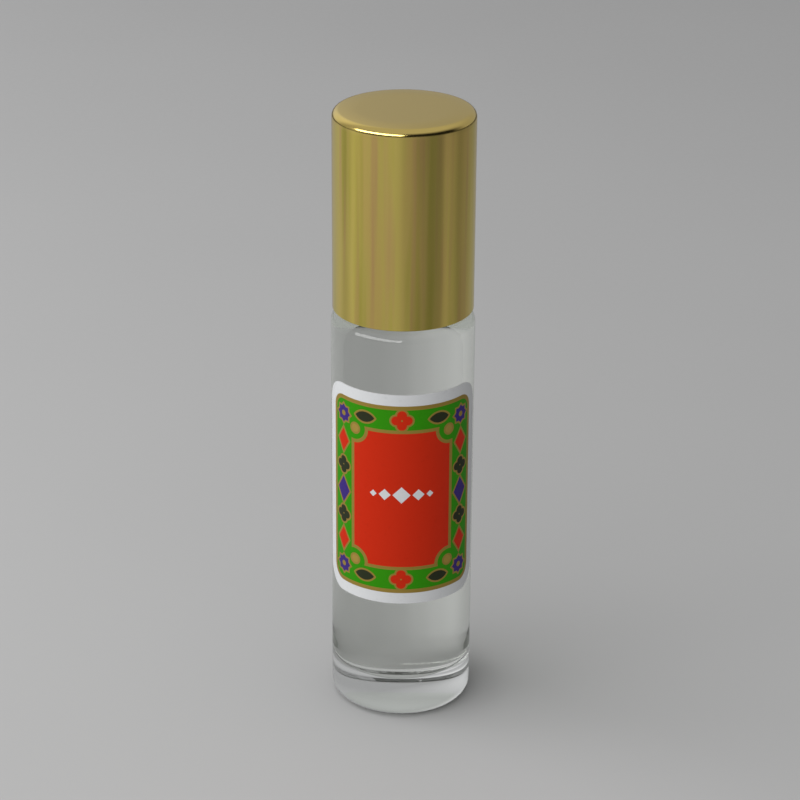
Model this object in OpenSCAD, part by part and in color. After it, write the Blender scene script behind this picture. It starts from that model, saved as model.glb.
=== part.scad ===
// Roll-on perfume bottle with a metal-shelled screw cap.
// Origin at the middle of the base, Z up, label facing -Y. Lengths in millimetres, angles in degrees.

/* [Glass body] */
// Outside diameter of the glass body
body_d = 20; // [16:0.5:24]
// Height of the shoulder's flat above the base
shoulder_z = 59.5; // [56:0.5:70]
// Thickness of the side wall
wall = 1.9; // [1.4:0.1:2.4]
// Height of the inside floor above the base
floor_z = 5.3; // [4:0.1:7]
// Thickness of the glass at the shoulder's flat
shoulder_t = 2; // [1.4:0.1:3]
// Rounding of the heel
heel_r = 1.7; // [1:0.1:2.2]
// Rounding of the shoulder's outer edge
shoulder_r = 1.5; // [0.8:0.1:1.8]
// Rounding of the corner between the inside floor and the wall
floor_r = 1.8; // [0.8:0.1:2.5]
// Rounding of the inside corner under the shoulder
ceiling_r = 1.4; // [0.6:0.1:1.8]
// Width of the flat ring that the bottle stands on
foot_w = 1.3; // [0.8:0.1:2]
// Depth of the hollow under the base
punt_h = 1.2; // [0.6:0.1:2]

/* [Neck] */
// Height of the neck's rim above the shoulder
neck_h = 11.3; // [10:0.1:13]
// Thickness of the neck's wall
neck_wall = 1.9; // [1.6:0.1:2.2]
// Rounding where the neck meets the shoulder
neck_fillet = 0.5; // [0.2:0.1:0.8]
// Rounding of the rim's outer edge
rim_r = 0.6; // [0.3:0.1:0.8]
// Rounding of the neck bore's upper and lower edges
bore_edge_r = 0.4; // [0.2:0.1:0.6]

/* [Thread] */
// Rise of the thread in one turn
thread_lead = 3; // [2.6:0.1:3.6]
// How far the neck's thread stands out
thread_h = 0.8; // [0.5:0.05:0.9]
// Turns of thread on the neck and in the cap
thread_turns = 1.5; // [1:0.25:1.75]
// Height of the middle of the neck thread's lower end above the shoulder
thread_start_h = 3.5; // [3:0.1:4.2]
// Clearance between each thread's crest and the wall that it faces
thread_gap = 0.15; // [0.1:0.01:0.25]
// Clearance between the flanks of the two threads
flank_gap = 0.3; // [0.2:0.05:0.5]
// How deep a thread's root lies inside its own wall
thread_root = 0.4; // [0.3:0.05:0.5]
// Angle over which a thread's end fades into its wall
fade_angle = 50; // [30:5:90]

/* [Roller] */
// How far the ball's side lies inside the neck's
ball_inset = 2.25; // [1.95:0.05:2.75]
// Running clearance round the ball
ball_gap = 0.07; // [0.04:0.01:0.1]
// Height of the cup's round lip above the ball's middle
lip_h = 2.5; // [1.8:0.1:2.9]
// Wall of the cup round the ball
cup_wall = 1.2; // [0.9:0.1:1.3]
// How much fuller than half the wall the cup's lip is
lip_swell = 0.03; // [0.02:0.005:0.035]
// Least wall between the ball and the neck's bore
seat_wall = 0.5; // [0.3:0.1:0.8]
// How far the flange stands out past the cup
flange_w = 0.35; // [0.2:0.05:0.5]
// Thickness of the flange that rests on the rim
flange_t = 1; // [0.6:0.1:1.5]
// Length of the plug inside the neck
plug_l = 7; // [6:0.1:8]
// Wall of the plug round the feed hole under the ball
plug_wall = 1.73; // [1.5:0.01:2.5]
// Clearance between the plug and the bore, which only the beads bridge
plug_gap = 0.12; // [0.08:0.01:0.2]
// Radius of the plug's sealing beads
bead_r = 0.35; // [0.25:0.05:0.5]
// Number of sealing beads
bead_count = 3; // [1:1:3]

/* [Perfume oil] */
// Height of the oil's level above the shoulder
oil_h = 2; // [1:0.1:3]
// Film of clearance between the oil and the glass
oil_gap = 0.03; // [0.02:0.01:0.1]

/* [Cap] */
// Height of the cap
cap_h = 28.35; // [26:0.5:36]
// How far the cap's side lies inside the glass body's
cap_inset = 0.225; // [0.1:0.025:0.4]
// Gap between the shoulder's flat and the cap
cap_gap = 0.15; // [0.1:0.05:0.6]
// Thickness of the metal shell
shell_t = 0.4; // [0.3:0.05:0.5]
// Rounding of the shell's top edge
cap_edge_r = 1; // [0.7:0.1:2]
// Wall of the threaded insert
insert_wall = 1.175; // [1:0.025:1.4]
// How far the threaded insert stands up inside the shell's lower edge
insert_inset = 0.35; // [0.2:0.05:0.6]
// Thickness of the insert's roof
roof_t = 1.2; // [0.8:0.1:2]
// Bevel at the insert's mouth
mouth_bevel = 0.4; // [0.2:0.1:0.5]
// Thickness of the sealing disc
seal_t = 1.5; // [1:0.1:2.5]
// Clearance round the sealing disc, and between it and the ball
seal_gap = 0.1; // [0.05:0.05:0.2]
// How far the ring that holds the sealing disc stands in from the insert's bore
ring_inset = 1.8; // [0.8:0.1:2.6]
// Wall of the ring
ring_wall = 0.8; // [0.6:0.1:1.2]
// How far the ring's bead reaches in under the disc
ring_bead_w = 0.35; // [0.25:0.05:0.6]
// Height of the ring's bead
ring_bead_h = 0.4; // [0.3:0.1:0.6]

/* [Label] */
// Height of the label
label_h = 31.9; // [20:0.1:36]
// Height of the label's lower edge above the base
label_z = 18.55; // [8:0.05:20]
// Angle that the label wraps round the body
label_wrap = 151.5; // [90:0.1:200]
// Angle that the label's middle is turned from the front
label_turn = -0.3; // [-5:0.1:5]
// Thickness of the label
label_t = 0.1; // [0.05:0.01:0.2]
// Rounding of the label's corners
label_corner_r = 3.7; // [1:0.1:5]
// How much larger the circle that rounds a corner is, so that it crosses the edges
label_corner_cross = 0.06; // [0.04:0.01:0.1]

/* [Hidden] */

$fn = 96;
// Overrun of every cut past the solid that it cuts
over = 0.5;
// Steps in one turn of a thread
thread_steps = 36;
// Direction that the label faces
front_angle = -90;

// Glass body and neck
body_r = body_d / 2;
inner_r = body_r - wall;
ceiling_z = shoulder_z - shoulder_t;
punt_r = body_r - heel_r - foot_w;
punt_ball_r = (punt_r * punt_r + punt_h * punt_h) / (2 * punt_h);
rim_z = shoulder_z + neck_h;

// The cap's side follows the body's, and the neck fits inside the cap
cap_r = body_r - cap_inset;
insert_r = cap_r - shell_t;
cap_bore_r = insert_r - insert_wall;
neck_r = cap_bore_r - thread_gap - thread_h;
bore_r = neck_r - neck_wall;

// Threads: the cap's thread lies half a lead below the neck's, on the same helix
thread_z = shoulder_z + thread_start_h;
cap_thread_z = thread_z - thread_lead / 2;
thread_half_w = (thread_lead / 2 - flank_gap) / 2;
// Outline of a glass thread: share of its height from root to crest, share of its half width
glass_thread_shares = [[0, -1], [0.55, -0.9], [0.88, -0.6], [1, -0.2],
                       [1, 0.2], [0.88, 0.6], [0.55, 0.9], [0, 1]];
// Outline of a moulded plastic thread
plastic_thread_shares = [[0, -1], [0.4, -0.95], [1, -0.45], [1, 0.45], [0.4, 0.95], [0, 1]];
// Share of a thread's height that is left where it ends, out of sight in its wall
thread_end_share = 0.15;

// Roller fitment: the ball sits as low as the wall inside the bore lets it
ball_r = neck_r - ball_inset;
socket_r = ball_r + ball_gap;
cup_r = socket_r + cup_wall;
flange_r = cup_r + flange_w;
plug_r = bore_r - plug_gap;
plug_z = rim_z - plug_l;
feed_r = plug_r - plug_wall;
seat_r = plug_r - seat_wall;
ball_z = rim_z + sqrt(max(0, socket_r * socket_r - seat_r * seat_r));
ball_top_z = ball_z + ball_r;
lip_r = cup_wall / 2 + lip_swell;
lip_mid_r = socket_r + cup_wall / 2;
lip_angle = asin((lip_h - lip_r) / lip_mid_r);
bead_pitch = 4 * bead_r;

// Cap
cap_z = shoulder_z + cap_gap;
cap_top_z = cap_z + cap_h;
insert_z = cap_z + insert_inset;
insert_top_z = cap_top_z - shell_t;
cap_crest_r = (neck_r + thread_gap) / cos(180 / thread_steps);
ring_r = cap_bore_r - ring_inset - ring_wall;
seal_r = ring_r - seal_gap;
seal_z = ball_top_z + seal_gap;
roof_z = seal_z + seal_t + seal_gap;
ring_z = seal_z - seal_gap - ring_bead_h;

// Perfume oil
oil_z = shoulder_z + oil_h;

// Label
label_mid_z = label_z + label_h / 2;
corner_angle = label_wrap / 2 - asin(label_corner_r / (body_r + label_t));

// What rounding a solid's corner takes off: a square less a quarter circle, with its point at the corner
module corner_off(at, r, turn = 0) {
    translate(at) rotate(turn) translate([-r, -r]) difference() {
        square(r + over);
        circle(r = r);
    }
}

// The web of a concave rounding, in the quarter plane that turn picks
module corner_web(at, r, turn = 0) {
    translate(at) rotate(turn) difference() {
        square(r);
        translate([r, r]) circle(r = r);
    }
}

// Outline of the space inside the glass, drawn in by a gap, up to a height
module cavity_outline(gap, top_z) {
    difference() {
        union() {
            translate([0, floor_z + gap]) square([inner_r - gap, ceiling_z - floor_z - 2 * gap]);
            translate([0, floor_z + gap]) square([bore_r - gap, top_z - floor_z - gap]);
            corner_web([bore_r - gap, ceiling_z - gap], bore_edge_r);
        }
        corner_off([inner_r - gap, floor_z + gap], floor_r, 270);
        corner_off([inner_r - gap, ceiling_z - gap], ceiling_r);
    }
}

// A helical rib. It rises from a wall at wall_r to crest_r, inwards or outwards, and its ends fade into the wall.
function fade_share(a, span) =
    let (from_end = min(a, span - a))
    thread_end_share + (1 - thread_end_share) * min(1, sin(min(90, 90 * from_end / fade_angle)));

function rib_ring(shares, wall_r, crest_r, z, a, span) =
    let (side = crest_r > wall_r ? 1 : -1)
    let (root_r = wall_r - side * thread_root)
    let (tall = (crest_r - root_r) * fade_share(a, span))
    [for (s = shares)
        let (r = root_r + s[0] * tall)
        [r * cos(a), r * sin(a), z + thread_lead * a / 360 + s[1] * thread_half_w]];

module helical_rib(shares, wall_r, crest_r, z) {
    count = len(shares);
    span = 360 * thread_turns;
    steps = ceil(thread_steps * thread_turns);
    points = [for (i = [0 : steps]) each rib_ring(shares, wall_r, crest_r, z, span * i / steps, span)];
    sides = [for (i = [0 : steps - 1], k = [0 : count - 1])
        let (a = i * count + k, b = i * count + (k + 1) % count)
        each [[a, b, b + count], [a, b + count, a + count]]];
    start = [[for (k = [0 : count - 1]) count - 1 - k]];
    end = [[for (k = [0 : count - 1]) steps * count + k]];
    faces = concat(sides, start, end);
    outwards = crest_r > wall_r;
    polyhedron(points, [for (f = faces) outwards ? f : [for (k = [len(f) - 1 : -1 : 0]) f[k]]]);
}

module glass_outline() {
    difference() {
        union() {
            square([body_r, shoulder_z]);
            square([neck_r, rim_z]);
            corner_web([neck_r, shoulder_z], neck_fillet);
        }
        cavity_outline(0, rim_z + over);
        corner_off([body_r, 0], heel_r, 270);
        corner_off([body_r, shoulder_z], shoulder_r);
        corner_off([neck_r, rim_z], rim_r);
        corner_web([bore_r, rim_z], bore_edge_r, 270);
        translate([0, punt_h - punt_ball_r]) circle(r = punt_ball_r);
    }
}

module glass_bottle() {
    color("gainsboro", 0.5) {
        rotate_extrude() glass_outline();
        helical_rib(glass_thread_shares, neck_r, neck_r + thread_h, thread_z);
    }
}

module perfume_oil() {
    color("lightyellow", 0.5)
        rotate_extrude() cavity_outline(oil_gap, oil_z);
}

// The cup follows the ball up to its lip, which is a full round as wide as the cup's wall
module cup_outline() {
    difference() {
        intersection() {
            translate([0, ball_z]) circle(r = cup_r);
            translate([0, rim_z]) square(2 * cup_r);
        }
        translate([0, ball_z]) circle(r = socket_r);
        translate([0, ball_z]) rotate(lip_angle) square(2 * cup_r);
    }
    translate([0, ball_z]) rotate(lip_angle) translate([lip_mid_r, 0]) circle(r = lip_r);
}

module housing_outline() {
    difference() {
        union() {
            translate([0, plug_z]) square([plug_r, plug_l]);
            translate([0, rim_z]) square([flange_r, flange_t]);
            for (i = [1 : bead_count])
                translate([bore_r - bead_r, plug_z + i * bead_pitch]) circle(r = bead_r);
        }
        translate([0, ball_z]) circle(r = socket_r);
        translate([0, plug_z - over]) square([feed_r, ball_z - plug_z + over]);
        corner_off([plug_r, plug_z], bead_r, 270);
        corner_off([flange_r, rim_z + flange_t], flange_w / 2);
    }
    cup_outline();
}

module roller_housing() {
    color("whitesmoke")
        rotate_extrude() housing_outline();
}

module roller_ball() {
    color("silver")
        translate([0, 0, ball_z]) sphere(r = ball_r);
}

module insert_outline() {
    difference() {
        union() {
            translate([cap_bore_r, insert_z]) square([insert_r - cap_bore_r, insert_top_z - insert_z]);
            translate([0, roof_z]) square([insert_r - shell_t, roof_t]);
            translate([ring_r, ring_z]) square([ring_wall, roof_z - ring_z]);
            translate([ring_r - ring_bead_w, ring_z]) square([ring_wall, ring_bead_h]);
        }
        corner_off([insert_r, insert_top_z], cap_edge_r);
        translate([cap_bore_r, insert_z]) rotate(45)
            square(mouth_bevel * sqrt(2), center = true);
    }
}

module inner_cap() {
    color("white") {
        rotate_extrude() insert_outline();
        helical_rib(plastic_thread_shares, cap_bore_r, cap_crest_r, cap_thread_z);
    }
}

module shell_outline() {
    difference() {
        translate([0, cap_z]) square([cap_r, cap_h]);
        difference() {
            translate([0, cap_z - over]) square([insert_r, cap_h - shell_t + over]);
            corner_off([insert_r, insert_top_z], cap_edge_r - shell_t);
        }
        corner_off([cap_r, cap_top_z], cap_edge_r);
    }
}

module cap_shell() {
    color("goldenrod")
        rotate_extrude() shell_outline();
}

module cap_seal() {
    color("ivory")
        translate([0, 0, seal_z]) cylinder(r = seal_r, h = seal_t);
}

// One corner of the label, cut straight out from the axis: the flat corner of a square, less a circle
module label_corner(side, end) {
    rotate(side * corner_angle)
        translate([inner_r, 0, label_mid_z + end * (label_h / 2 - label_corner_r)])
            rotate([90, 0, 90])
                linear_extrude(wall + label_t + over)
                    difference() {
                        translate([side > 0 ? 0 : -label_corner_r - over, end > 0 ? 0 : -label_corner_r - over])
                            square(label_corner_r + over);
                        circle(r = label_corner_r + label_corner_cross);
                    }
}

module front_label() {
    color("forestgreen")
        rotate(front_angle + label_turn)
            difference() {
                rotate(-label_wrap / 2)
                    rotate_extrude(angle = label_wrap)
                        translate([body_r, label_z]) square([label_t, label_h]);
                for (side = [-1, 1], end = [-1, 1])
                    label_corner(side, end);
            }
}

glass_bottle();
perfume_oil();
roller_housing();
roller_ball();
inner_cap();
cap_shell();
cap_seal();
front_label();
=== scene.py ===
# Roll-on bottle on a pale floor: lathed glass, oil, fitment, ball and cap, and a printed wrap label.
import math

import bpy
import numpy as np
from mathutils import Matrix, Vector


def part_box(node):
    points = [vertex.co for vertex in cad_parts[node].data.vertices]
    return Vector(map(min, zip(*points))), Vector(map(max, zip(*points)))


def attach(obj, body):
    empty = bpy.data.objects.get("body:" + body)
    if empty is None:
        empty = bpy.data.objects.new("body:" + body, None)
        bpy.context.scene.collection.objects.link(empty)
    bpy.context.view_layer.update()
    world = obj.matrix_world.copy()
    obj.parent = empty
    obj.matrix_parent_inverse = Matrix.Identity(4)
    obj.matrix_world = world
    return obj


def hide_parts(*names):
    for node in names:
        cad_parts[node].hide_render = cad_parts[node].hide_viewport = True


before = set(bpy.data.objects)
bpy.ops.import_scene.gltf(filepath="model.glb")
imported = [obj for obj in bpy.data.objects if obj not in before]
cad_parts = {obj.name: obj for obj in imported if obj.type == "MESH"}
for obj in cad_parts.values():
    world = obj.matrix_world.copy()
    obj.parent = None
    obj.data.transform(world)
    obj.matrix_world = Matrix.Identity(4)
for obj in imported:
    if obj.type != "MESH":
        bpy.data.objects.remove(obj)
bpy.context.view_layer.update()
mm = 0.001
fullTurn = 2 * math.pi
tolerance = 0.01 * mm    # points of an outline this close to a line lie on it


# Mesh tools

# Points on an arc: centre plus radius times (cos a, sin a), from one angle in degrees to another.
def arc(centre, radius, start, end, steps=12):
    angle = np.radians(np.linspace(start, end, steps + 1))
    return np.column_stack([centre[0] + radius * np.cos(angle), centre[1] + radius * np.sin(angle)])


# Open outline with rounded corners, each (r, z, radius). An arc is tangent to both sides of its corner: it
# starts radius / tan(half angle) from the corner, and its middle lies on the bisector. The two ends have
# radius 0.
def roundedOutline(corners, steps=10):
    points = np.array(corners, float)
    place, radius = points[:, :2], points[:, 2]
    pieces = []
    for i in range(len(points)):
        if radius[i] == 0:
            pieces.append(place[i][None])
            continue
        back = place[i - 1] - place[i]
        ahead = place[i + 1] - place[i]
        back, ahead = back / np.linalg.norm(back), ahead / np.linalg.norm(ahead)
        half = math.acos(np.clip(back @ ahead, -1, 1)) / 2
        bisector = (back + ahead) / np.linalg.norm(back + ahead)
        middle = place[i] + bisector * radius[i] / math.sin(half)
        first = place[i] + back * radius[i] / math.tan(half) - middle
        last = place[i] + ahead * radius[i] / math.tan(half) - middle
        start = math.atan2(first[1], first[0])
        sweep = (math.atan2(last[1], last[0]) - start + math.pi) % fullTurn - math.pi
        pieces.append(arc(middle, radius[i], math.degrees(start), math.degrees(start + sweep), steps))
    return np.vstack(pieces)


# Divides an outline's long sides. A guard point near each end keeps the shading flat, and no step between
# them is longer than the given length. A side under six guards long stays whole.
def divided(outline, longest, guard=0.06 * mm, closed=False):
    ends = np.roll(outline, -1, axis=0) if closed else outline[1:]
    pieces = []
    for start, end in zip(outline, ends):
        length = np.linalg.norm(end - start)
        share = [0.0]
        if length > 6 * guard:
            inner = np.linspace(guard / length, 1 - guard / length, 2 + int(length // longest))
            share = np.concatenate([share, inner])
        pieces.append(start + np.outer(share, end - start))
    if not closed:
        pieces.append(outline[-1:])
    return np.vstack(pieces)


# Evenly spaced points on an outline's upright wall, between two heights, where a thread needs them.
def denseWall(outline, radius, low, high, count):
    r, z = outline.T
    onWall = (np.abs(r - radius) < tolerance) & (z > low) & (z < high)
    start, end = np.flatnonzero(onWall)[[0, -1]]
    wall = np.column_stack([np.full(count, radius), np.linspace(z[start], z[end], count)])
    return np.vstack([outline[:start], wall, outline[end + 1:]])


# Mesh object from points and faces, shaded smooth, with its place in its mesh.
def meshObject(name, points, faces, sharpAngle=None):
    mesh = bpy.data.meshes.new(name)
    mesh.from_pydata(points.tolist(), [], faces)
    mesh.update()
    mesh.shade_smooth()
    if sharpAngle is not None:
        mesh.set_sharp_from_angle(angle=math.radians(sharpAngle))
    made = bpy.data.objects.new(name, mesh)
    bpy.context.scene.collection.objects.link(made)
    return made


# Surface of revolution: the outline's point (r, z) goes to ((r + lift) cos a, (r + lift) sin a, z). The
# outline runs anticlockwise round the material, so that faces point out. An open outline starts and ends on
# the axis.
def lathe(name, outline, around=192, lift=None, closed=False, sharpAngle=None):
    angle = np.arange(around) * fullTurn / around
    ringPoints = outline if closed else outline[1:-1]
    r, z = ringPoints[:, :1], ringPoints[:, 1:]
    radius = r + (lift(angle[None], r, z) if lift else 0 * angle)
    rings = np.stack([radius * np.cos(angle), radius * np.sin(angle), z + 0 * radius], axis=-1)
    points = rings.reshape(-1, 3)
    count = len(ringPoints)
    low = np.arange(count if closed else count - 1)[:, None] * around
    high = (low + around) % (count * around)
    here = np.arange(around)[None]
    ahead = (here + 1) % around
    quads = np.stack([low + here, low + ahead, high + ahead, high + here], axis=-1).reshape(-1, 4)
    faces = quads.tolist()
    if not closed:
        poles = np.array([[0, 0, outline[0, 1]], [0, 0, outline[-1, 1]]])
        points = np.vstack([points, poles])
        first, last = len(points) - 2, len(points) - 1
        top = (count - 1) * around
        start = np.column_stack([np.full(around, first), ahead[0], here[0]])
        end = np.column_stack([np.full(around, last), top + here[0], top + ahead[0]])
        faces += start.tolist() + end.tolist()
    return meshObject(name, points, faces, sharpAngle)


# Helical rib: its height is 1 - |s| to the power of its flank, where s is the distance from the helix as a
# share of the half width, and it fades as a sine towards both of its ends.
def helixHeight(angle, z, rib):
    height = 0
    span = fullTurn * rib["turns"]
    for turn in range(math.ceil(rib["turns"])):
        along = angle + fullTurn * turn
        s = np.abs(z - rib["startZ"] - rib["lead"] * along / fullTurn) / rib["halfWidth"]
        fade = np.clip(np.minimum(along, span - along) / math.radians(rib["fadeDegrees"]), 0, 1)
        height = np.maximum(height, np.sin(fade * math.pi / 2) * np.clip(1 - s ** rib["flank"], 0, 1))
    return rib["height"] * height


# Gives each face the material whose number is a function of its middle's (r, z).
def zoned(piece, zone):
    mesh = piece.data
    middle = np.zeros(3 * len(mesh.polygons))
    mesh.polygons.foreach_get("center", middle)
    x, y, z = middle.reshape(-1, 3).T
    mesh.polygons.foreach_set("material_index", zone(np.hypot(x, y), z).astype(np.int32))
    return piece


def dress(piece, body, node, slot, *materials):
    for material in materials:
        piece.data.materials.append(material)
    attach(piece, body)
    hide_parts(node)
    print("piece", piece.name, "faces", len(piece.data.polygons))
    return piece


# Shader tools

# A socket in an expression. Its operators add Math nodes.
class Wire:
    def __init__(self, graph, socket):
        self.graph = graph
        self.socket = socket

    def __add__(self, other):
        return self.graph.maths("ADD", self, other)

    def __radd__(self, other):
        return self.graph.maths("ADD", other, self)

    def __sub__(self, other):
        return self.graph.maths("SUBTRACT", self, other)

    def __rsub__(self, other):
        return self.graph.maths("SUBTRACT", other, self)

    def __mul__(self, other):
        return self.graph.maths("MULTIPLY", self, other)

    def __rmul__(self, other):
        return self.graph.maths("MULTIPLY", other, self)

    def __truediv__(self, other):
        return self.graph.maths("DIVIDE", self, other)

    def __rtruediv__(self, other):
        return self.graph.maths("DIVIDE", other, self)


# The nodes of a material or of the world.
class Graph:
    def __init__(self, owner):
        self.owner = owner
        owner.use_nodes = True
        self.tree = owner.node_tree
        self.tree.nodes.clear()

    # Any node: its type, its settings, which are set first, and the values or links of its sockets. A ramp's
    # stops are pairs of place and grey value.
    def node(self, kind, settings, sockets, out=0):
        made = self.tree.nodes.new("ShaderNode" + kind)
        for name, value in settings.items():
            if name == "stops":
                self.setStops(made.color_ramp, value)
            else:
                setattr(made, name, value)
        for name, value in sockets.items():
            if isinstance(value, Wire):
                self.tree.links.new(value.socket, made.inputs[name])
            else:
                made.inputs[name].default_value = value
        return Wire(self, made.outputs[out]) if made.outputs else None

    def setStops(self, ramp, stops):
        ramp.interpolation = "EASE"
        for stop in stops[1:-1]:
            ramp.elements.new(stop[0])
        for element, (place, value) in zip(ramp.elements, stops):
            element.position = place
            element.color = (value, value, value, 1)

    def maths(self, operation, *values):
        return self.node("Math", {"operation": operation}, dict(enumerate(values)))

    def smaller(self, a, b):
        return self.maths("MINIMUM", a, b)

    def larger(self, a, b):
        return self.maths("MAXIMUM", a, b)

    def size(self, a):
        return self.maths("ABSOLUTE", a)

    # Length of (a, b).
    def span(self, a, b):
        return self.maths("SQRT", a * a + b * b)

    # 1 where the distance is under the edge, 0 past it, with a soft step between.
    def inside(self, distance, edge=0.0, soft=0.03):
        return self.node("MapRange", {"interpolation_type": "SMOOTHSTEP"}, {
            "Value": distance,
            "From Min": edge - soft,
            "From Max": edge + soft,
            "To Min": 1.0,
            "To Max": 0.0,
        })

    def between(self, value, low, high, toLow=0.0, toHigh=1.0):
        sockets = {"Value": value, "From Min": low, "From Max": high, "To Min": toLow, "To Max": toHigh}
        return self.node("MapRange", {}, sockets)

    def blend(self, factor, a, b, way="MIX"):
        sockets = {0: factor, 6: colour(a), 7: colour(b)}
        return self.node("Mix", {"data_type": "RGBA", "blend_type": way}, sockets, 2)

    def place(self):
        return self.node("TexCoord", {}, {}, "Object")

    def parts(self, vector):
        return [self.node("SeparateXYZ", {}, {"Vector": vector}, axis) for axis in "XYZ"]

    # The object's coordinates stretched: each axis is multiplied by its share.
    def stretched(self, share):
        return self.node("Mapping", {}, {"Vector": self.place(), "Scale": share})

    # Its scale is in cycles a metre.
    def noise(self, vector, scale, detail=3.0, rough=0.5):
        sockets = {"Vector": vector, "Scale": scale, "Detail": detail, "Roughness": rough}
        return self.node("TexNoise", {}, sockets)

    def bump(self, height, distance, strength=1.0):
        return self.node("Bump", {}, {"Height": height, "Distance": distance, "Strength": strength})

    # 1 on rays of one kind.
    def ray(self, kind):
        return self.node("LightPath", {}, {}, kind)

    def mixShader(self, factor, a, b):
        return self.node("MixShader", {}, {0: factor, 1: a, 2: b})

    def finish(self, shader, output="OutputMaterial"):
        self.node(output, {}, {"Surface": shader})
        return self.owner


def material(name):
    return Graph(bpy.data.materials.new(name))


def colour(value):
    return value if isinstance(value, Wire) else (*value[:3], 1.0)


# Sizes read from the frame

bottleLow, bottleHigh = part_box("glass_bottle")
ballLow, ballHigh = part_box("roller_ball")
insertLow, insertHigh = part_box("inner_cap")
shellLow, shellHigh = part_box("cap_shell")
sealLow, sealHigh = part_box("cap_seal")
labelLow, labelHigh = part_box("front_label")

# What the threads of neck and cap share.
thread = {
    "lead": 3 * mm,
    "turns": 1.5,
    "height": 0.8 * mm,
    "halfWidth": 0.6 * mm,
    "flank": 2.6,
    "fadeDegrees": 50,
}


# Materials. A pattern is a noise's scale, detail and roughness, and a step is where a noise starts and ends
# a change.

# Clear surface: it bends and mirrors light by the ratio of the indices on its two sides. What has been
# mirrored once, inside it or on another piece, then passes straight. So do the lamps' rays and what lights
# matt surfaces: they get in with one tone and out with another. Its waves, if it has any, are drawn out
# upwards.
def clearMaterial(name, tone, toneIn, toneOut, index, waves=None):
    graph = material(name)
    sockets = {"Base Color": colour(tone), "Roughness": 0.0, "IOR": index, "Transmission Weight": 1.0}
    if waves:
        height = graph.noise(graph.stretched(waves["stretch"]), *waves["pattern"])
        sockets["Normal"] = graph.bump(height, waves["depth"])
    body = graph.node("BsdfPrincipled", {}, sockets)
    passing = graph.node("BsdfTransparent", {}, {"Color": colour(tone)})
    entering = graph.node("BsdfTransparent", {}, {"Color": colour(toneIn)})
    leaving = graph.node("BsdfTransparent", {}, {"Color": colour(toneOut)})
    fromInside = graph.node("NewGeometry", {}, {}, "Backfacing")
    shading = graph.mixShader(fromInside, entering, leaving)
    body = graph.mixShader(graph.ray("Is Reflection Ray"), body, passing)
    body = graph.mixShader(graph.ray("Is Shadow Ray"), body, shading)
    body = graph.mixShader(graph.ray("Is Diffuse Ray"), body, shading)
    return graph.finish(body)


# Gold anodised metal: it drifts between two golds, and soft streaks of rose and of olive run up its side,
# partly the anodising's own tint and partly painted reflections of the room's bright and dark bands. It has
# fine drawing marks, a slow waviness, and a haze where fingers have been. Streaks, marks and waves end at
# the rounded edge, so that the top is one smooth tone. Marks and waves count from a noise's mean of 0.5, so
# that neither tilts the wall where it fades out.
def anodisedMaterial(finish):
    graph = material("anodisedGold")
    noise = {}
    for name, (rise, *pattern) in finish["noises"].items():
        noise[name] = graph.noise(graph.stretched((1, 1, rise)), *pattern)
    side = graph.between(graph.parts(graph.place())[2], finish["streakEnd"], finish["streakFull"])
    drift = graph.between(noise["drift"], *finish["driftStep"])
    tone = graph.blend(drift, finish["toneGold"], finish["toneWarm"])
    # Rose and olive streaks: partly the anodising's tint, partly painted reflection of the room's light and
    # dark.
    for name in ("rose", "olive"):
        tintAndReflectionStreak = graph.between(noise[name], *finish["streakStep"]) * finish["streakShare"]
        tone = graph.blend(tintAndReflectionStreak, tone, finish[name])
    tone = graph.blend(side, finish["toneTop"], tone)
    marks, wave = noise["marks"] - 0.5, noise["wave"] - 0.5
    rough = graph.between(noise["haze"], *finish["hazeStep"], finish["roughLeast"], finish["roughMost"])
    rough = rough + marks * finish["marksRough"] + (1 - side) * finish["edgeRough"]
    height = marks * finish["marksDepth"] + wave * finish["waveDepth"]
    return graph.finish(graph.node("BsdfPrincipled", {}, {
        "Base Color": tone,
        "Metallic": 1.0,
        "Roughness": rough,
        "Normal": graph.bump(height * side, 1.0),
    }))


# Polished steel with a faint film of oil: smears change its tone and roughness a little.
def steelMaterial(finish):
    graph = material("polishedSteel")
    film = graph.noise(graph.place(), *finish["filmPattern"])
    grain = graph.noise(graph.place(), *finish["grainPattern"])
    tone = graph.blend(graph.between(film, *finish["toneStep"]), finish["toneDeep"], finish["tonePale"])
    return graph.finish(graph.node("BsdfPrincipled", {}, {
        "Base Color": tone,
        "Metallic": 1.0,
        "Roughness": graph.between(film, *finish["roughStep"], finish["roughLeast"], finish["roughMost"]),
        "Normal": graph.bump(grain, finish["grainDepth"]),
    }))


plastic = {
    "cloudPattern": (330.0, 3.0),
    "grainPattern": (5200.0, 3.0, 0.6),
    "step": (0.3, 0.7),
    "roughUnder": 0.05,
    "roughOver": 0.07,
    "index": 1.5,
    "soakDepth": (1.2 * mm, 1.1 * mm, 1.0 * mm),
}


# Moulded plastic: cloudy tone, a fine moulded grain, and a little light that soaks in.
def plasticMaterial(name, finish):
    graph = material(name)
    cloud = graph.noise(graph.place(), *plastic["cloudPattern"])
    grain = graph.noise(graph.place(), *plastic["grainPattern"])
    tone = graph.blend(graph.between(cloud, *plastic["step"]), finish["toneDeep"], finish["tonePale"])
    least, most = finish["rough"] - plastic["roughUnder"], finish["rough"] + plastic["roughOver"]
    return graph.finish(graph.node("BsdfPrincipled", {}, {
        "Base Color": tone,
        "Roughness": graph.between(grain, *plastic["step"], least, most),
        "IOR": plastic["index"],
        "Subsurface Weight": finish["soak"],
        "Subsurface Radius": plastic["soakDepth"],
        "Subsurface Scale": 1.0,
        "Normal": graph.bump(grain, finish["grainDepth"]),
    }))


# Glass bottle

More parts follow.
